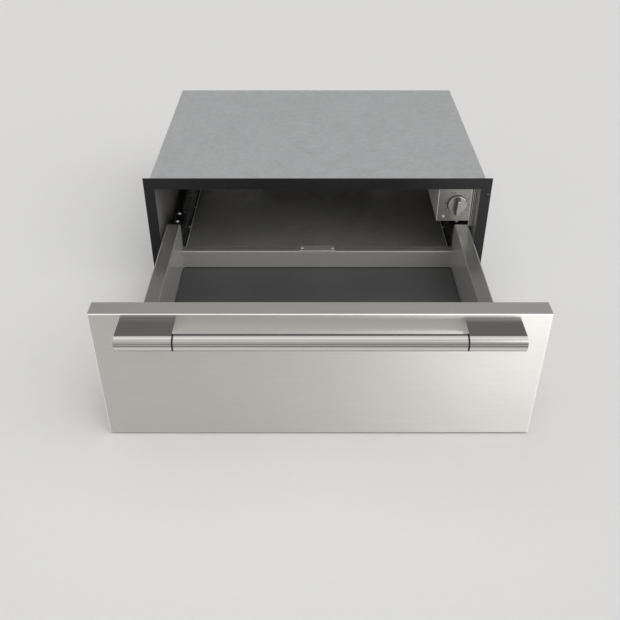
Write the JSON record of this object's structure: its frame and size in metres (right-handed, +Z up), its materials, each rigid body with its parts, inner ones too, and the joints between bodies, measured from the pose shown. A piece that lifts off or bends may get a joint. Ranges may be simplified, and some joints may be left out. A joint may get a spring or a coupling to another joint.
{
  "type": "built-in warming drawer",
  "caption": "Built-in warming drawer, shown open: an insulated case with a flange, a thermostat knob and a heater, and a steel-fronted drawer with a bar handle on full-extension slides.",
  "frame": {"origin": "centre of the case's underside", "axes": "+X to the right seen from the front, +Y towards the back, +Z up; the drawer front faces -Y"},
  "size_m": [0.756, 1.137, 0.267],
  "materials": {
    "case_base": "satin",
    "case_top": "satin",
    "case_back": "satin",
    "case_screws": "satin",
    "front_flange": "satin",
    "liner_floor": "satin",
    "liner_top": "satin",
    "liner_left": "satin",
    "liner_right": "satin",
    "liner_back": "satin",
    "insulation_blanket": "matte",
    "heating_element": "satin",
    "element_support": "satin",
    "heater_cover": "satin",
    "sensing_bulb": "satin",
    "bulb_clips": "satin",
    "control_box": "satin",
    "control_fascia": "satin",
    "thermostat_body": "matte",
    "lamp_body": "matte",
    "lamp_lens": "gloss",
    "junction_box": "satin",
    "junction_cover": "satin",
    "terminal_block": "satin",
    "wiring_harness": "matte",
    "stop_blocks": "matte",
    "slide_bolts": "satin",
    "case_side_right": "satin",
    "case_side_left": "satin",
    "slide_bracket_right": "satin",
    "slide_bracket_left": "satin",
    "slide_fixed_right": "satin",
    "slide_fixed_left": "satin",
    "knob": "satin",
    "thermostat_shaft": "satin",
    "slide_middle_right": "satin",
    "slide_middle_left": "satin",
    "slide_race_right": "satin",
    "slide_race_left": "satin",
    "front_skin": "satin",
    "inner_panel": "satin",
    "front_insulation": "matte",
    "front_gasket": "matte",
    "handle_bar": "satin",
    "handle_plugs": "matte",
    "handle_backing": "satin",
    "handle_screws": "satin",
    "corner_angles": "satin",
    "rear_rail": "satin",
    "base_tray": "satin",
    "name_plate": "satin",
    "plate_rivets": "satin",
    "drawer_screws": "satin",
    "handle_bracket_right": "satin",
    "handle_bracket_left": "satin",
    "drawer_side_right": "satin",
    "drawer_side_left": "satin",
    "slide_inner_right": "satin",
    "slide_inner_left": "satin"
  },
  "bodies": {
    "case": {"case_base": "case_base", "case_top": "case_top", "case_back": "case_back", "case_screws": "case_screws", "front_flange": "front_flange", "liner_floor": "liner_floor", "liner_top": "liner_top", "liner_left": "liner_left", "liner_right": "liner_right", "liner_back": "liner_back", "insulation_blanket": "insulation_blanket", "heating_element": "heating_element", "element_support": "element_support", "heater_cover": "heater_cover", "sensing_bulb": "sensing_bulb", "bulb_clips": "bulb_clips", "control_box": "control_box", "control_fascia": "control_fascia", "thermostat_body": "thermostat_body", "lamp_body": "lamp_body", "lamp_lens": "lamp_lens", "junction_box": "junction_box", "junction_cover": "junction_cover", "terminal_block": "terminal_block", "wiring_harness": "wiring_harness", "stop_blocks": "stop_blocks", "slide_bolts": "slide_bolts", "case_side_right": "case_side_right", "case_side_left": "case_side_left", "slide_bracket_right": "slide_bracket_right", "slide_bracket_left": "slide_bracket_left", "slide_fixed_right": "slide_fixed_right", "slide_fixed_left": "slide_fixed_left"},
    "knob": {"knob": "knob", "thermostat_shaft": "thermostat_shaft"},
    "slide_middle_left": {"slide_middle_left": "slide_middle_left", "slide_race_left": "slide_race_left"},
    "slide_middle_right": {"slide_middle_right": "slide_middle_right", "slide_race_right": "slide_race_right"},
    "drawer": {"front_skin": "front_skin", "inner_panel": "inner_panel", "front_insulation": "front_insulation", "front_gasket": "front_gasket", "handle_bar": "handle_bar", "handle_plugs": "handle_plugs", "handle_backing": "handle_backing", "handle_screws": "handle_screws", "corner_angles": "corner_angles", "rear_rail": "rear_rail", "base_tray": "base_tray", "name_plate": "name_plate", "plate_rivets": "plate_rivets", "drawer_screws": "drawer_screws", "handle_bracket_right": "handle_bracket_right", "handle_bracket_left": "handle_bracket_left", "drawer_side_right": "drawer_side_right", "drawer_side_left": "drawer_side_left", "slide_inner_right": "slide_inner_right", "slide_inner_left": "slide_inner_left"}
  },
  "joints": [
    {"name": "drawer_slide", "type": "slide", "parent": "case", "child": "drawer", "axis": [0, 1, 0], "range_m": [0, 0.469]},
    {"name": "slide_middle_left_run", "type": "slide", "parent": "case", "child": "slide_middle_left", "axis": [0, 1, 0], "range_m": [0, 0.2345]},
    {"name": "slide_middle_right_run", "type": "slide", "parent": "case", "child": "slide_middle_right", "axis": [0, 1, 0], "range_m": [0, 0.2345]},
    {"name": "knob_turn", "type": "hinge", "parent": "case", "child": "knob", "pos_m": [0.312, -0.242, 0.1861], "axis": [0, 1, 0], "range_deg": [0, 270]}
  ],
  "couplings": [
    {"joint": "slide_middle_left_run", "follows": "drawer_slide", "ratio": 0.5},
    {"joint": "slide_middle_right_run", "follows": "drawer_slide", "ratio": 0.5}
  ]
}
